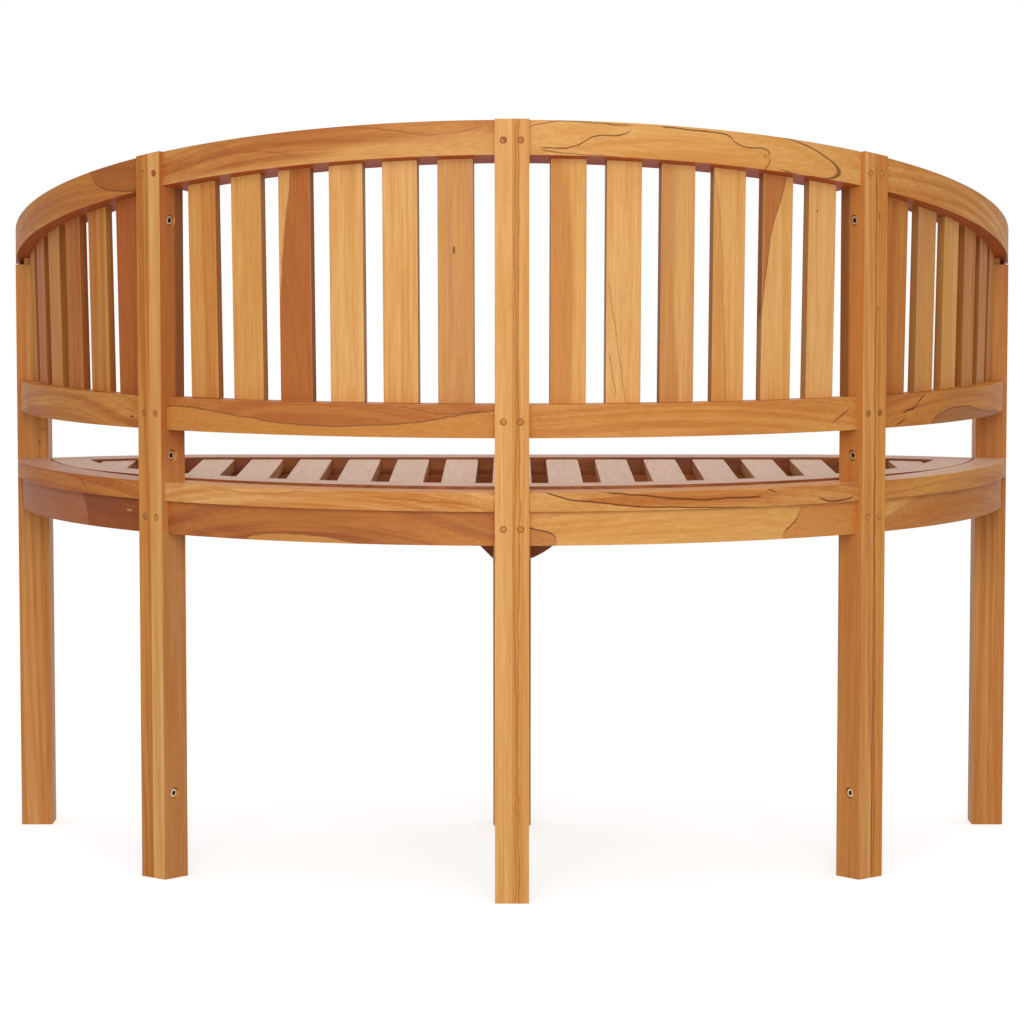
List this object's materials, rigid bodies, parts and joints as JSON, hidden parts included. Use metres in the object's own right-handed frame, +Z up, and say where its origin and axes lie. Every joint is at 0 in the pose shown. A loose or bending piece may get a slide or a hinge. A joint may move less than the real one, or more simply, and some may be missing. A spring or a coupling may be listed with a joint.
{
  "type": "banana bench",
  "caption": "Curved garden bench with a bowed slatted back that wraps round a slatted seat, pegged rails and bolted twin posts",
  "frame": {"origin": "middle of the footprint's bounding box, on the floor", "axes": "+X to the right as seen from the front, -Y is the open front, +Y is the curved back, +Z up"},
  "size_m": [1.1992, 0.565, 0.845],
  "materials": {
    "post_wood": "oiled teak, satin",
    "rail_wood": "oiled teak, satin",
    "slat_wood": "oiled teak, satin",
    "seat_wood": "oiled teak, satin",
    "apron_wood": "oiled teak, satin",
    "peg_wood": "end grain, satin",
    "steel": "zinc plated"
  },
  "bodies": {
    "root": {"post_back_left": "post_wood", "post_back_right": "post_wood", "post_inner_left": "post_wood", "post_inner_right": "post_wood", "post_outer_left": "post_wood", "post_outer_right": "post_wood", "post_end_left": "post_wood", "post_end_right": "post_wood", "leg_front": "post_wood", "top_rail_inner_left": "rail_wood", "top_rail_inner_right": "rail_wood", "top_rail_outer_left": "rail_wood", "top_rail_outer_right": "rail_wood", "low_rail_inner_left": "rail_wood", "low_rail_inner_right": "rail_wood", "low_rail_outer_left": "rail_wood", "low_rail_outer_right": "rail_wood", "slats_inner_left": "slat_wood", "slats_inner_right": "slat_wood", "slats_outer_left": "slat_wood", "slats_outer_right": "slat_wood", "board_inner_left": "rail_wood", "board_inner_right": "rail_wood", "board_outer_left": "rail_wood", "board_outer_right": "rail_wood", "apron_inner_left": "apron_wood", "apron_inner_right": "apron_wood", "apron_outer_left": "apron_wood", "apron_outer_right": "apron_wood", "apron_front_left": "apron_wood", "apron_front_right": "apron_wood", "deck_front_left": "seat_wood", "deck_front_right": "seat_wood", "deck_curve_left": "seat_wood", "deck_curve_right": "seat_wood", "deck_mid_left": "seat_wood", "deck_mid_right": "seat_wood", "deck_slats_left": "seat_wood", "deck_slats_right": "seat_wood", "bearer_middle": "apron_wood", "bearer_left": "apron_wood", "bearer_right": "apron_wood", "cleat_left": "apron_wood", "cleat_right": "apron_wood", "knee_left": "apron_wood", "knee_right": "apron_wood", "pegs": "peg_wood", "dowels": "peg_wood", "bolts": "steel", "nuts": "steel", "deck_screws": "steel"}
  },
  "joints": []
}
